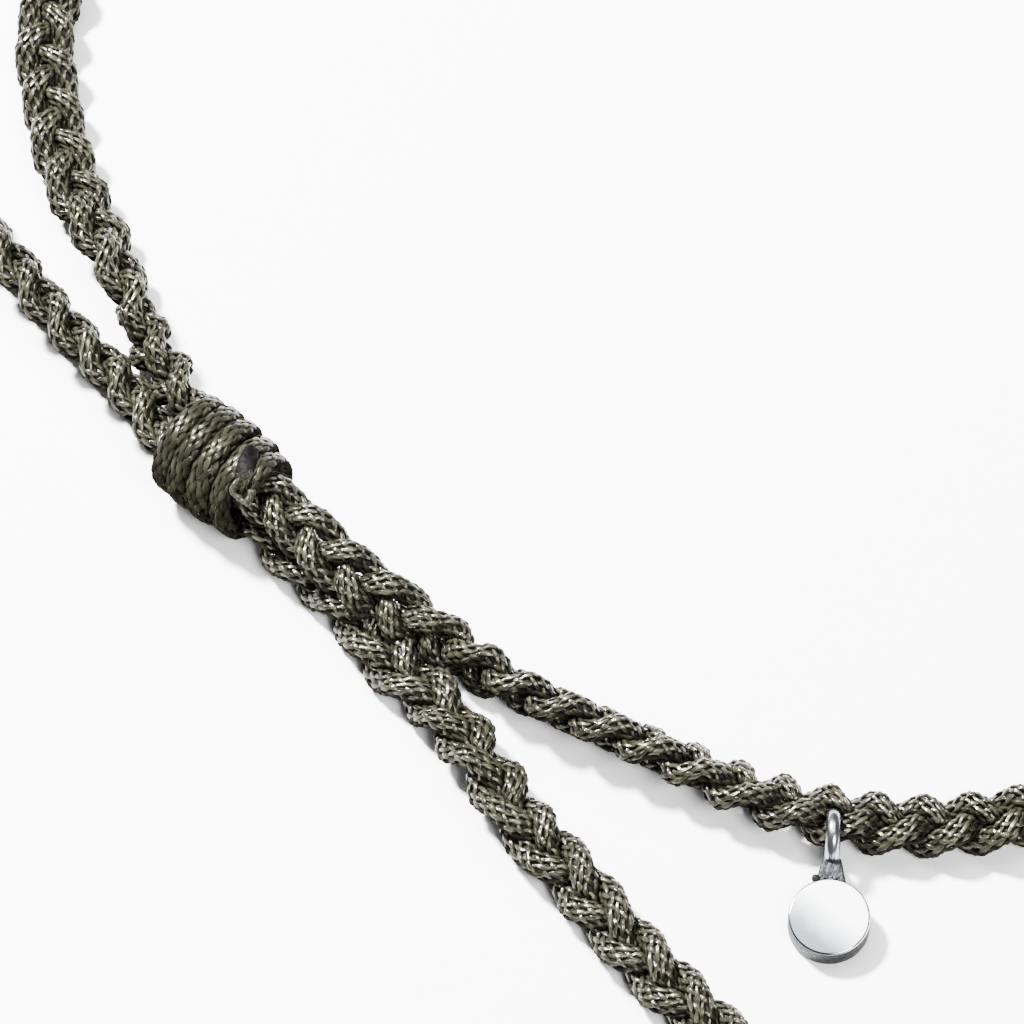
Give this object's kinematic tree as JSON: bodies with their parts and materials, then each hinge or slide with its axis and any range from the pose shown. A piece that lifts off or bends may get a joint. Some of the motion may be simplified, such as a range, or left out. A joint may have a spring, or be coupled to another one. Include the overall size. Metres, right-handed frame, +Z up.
{
  "type": "braided cord anklet",
  "caption": "Adjustable anklet: a flat plait of braided cord closed by a sliding wrapped knot, with a small round silver tag on a ring.",
  "frame": {"origin": "on the table, under the middle of the footprint of the anklet as it lies, tails included", "axes": "+Z up from the table, -Y towards the viewer of the picture and the tag, +X to the viewer's right"},
  "size_m": [0.0944, 0.1069, 0.0053],
  "materials": {
    "cord": "round-braided nylon cord, khaki grey with a filament gloss",
    "wrap_cord": "the same nylon cord wound tight, its end melted dark",
    "silver": "polished face, brushed ring, dark unpolished rim",
    "thread": "fine waxed nylon thread in close turns"
  },
  "bodies": {
    "root": {"strand_a": "cord", "strand_b": "cord", "strand_c": "cord", "slide_wrap": "wrap_cord", "tag": "silver", "whipping_left": "thread", "whipping_right": "thread"}
  },
  "joints": []
}
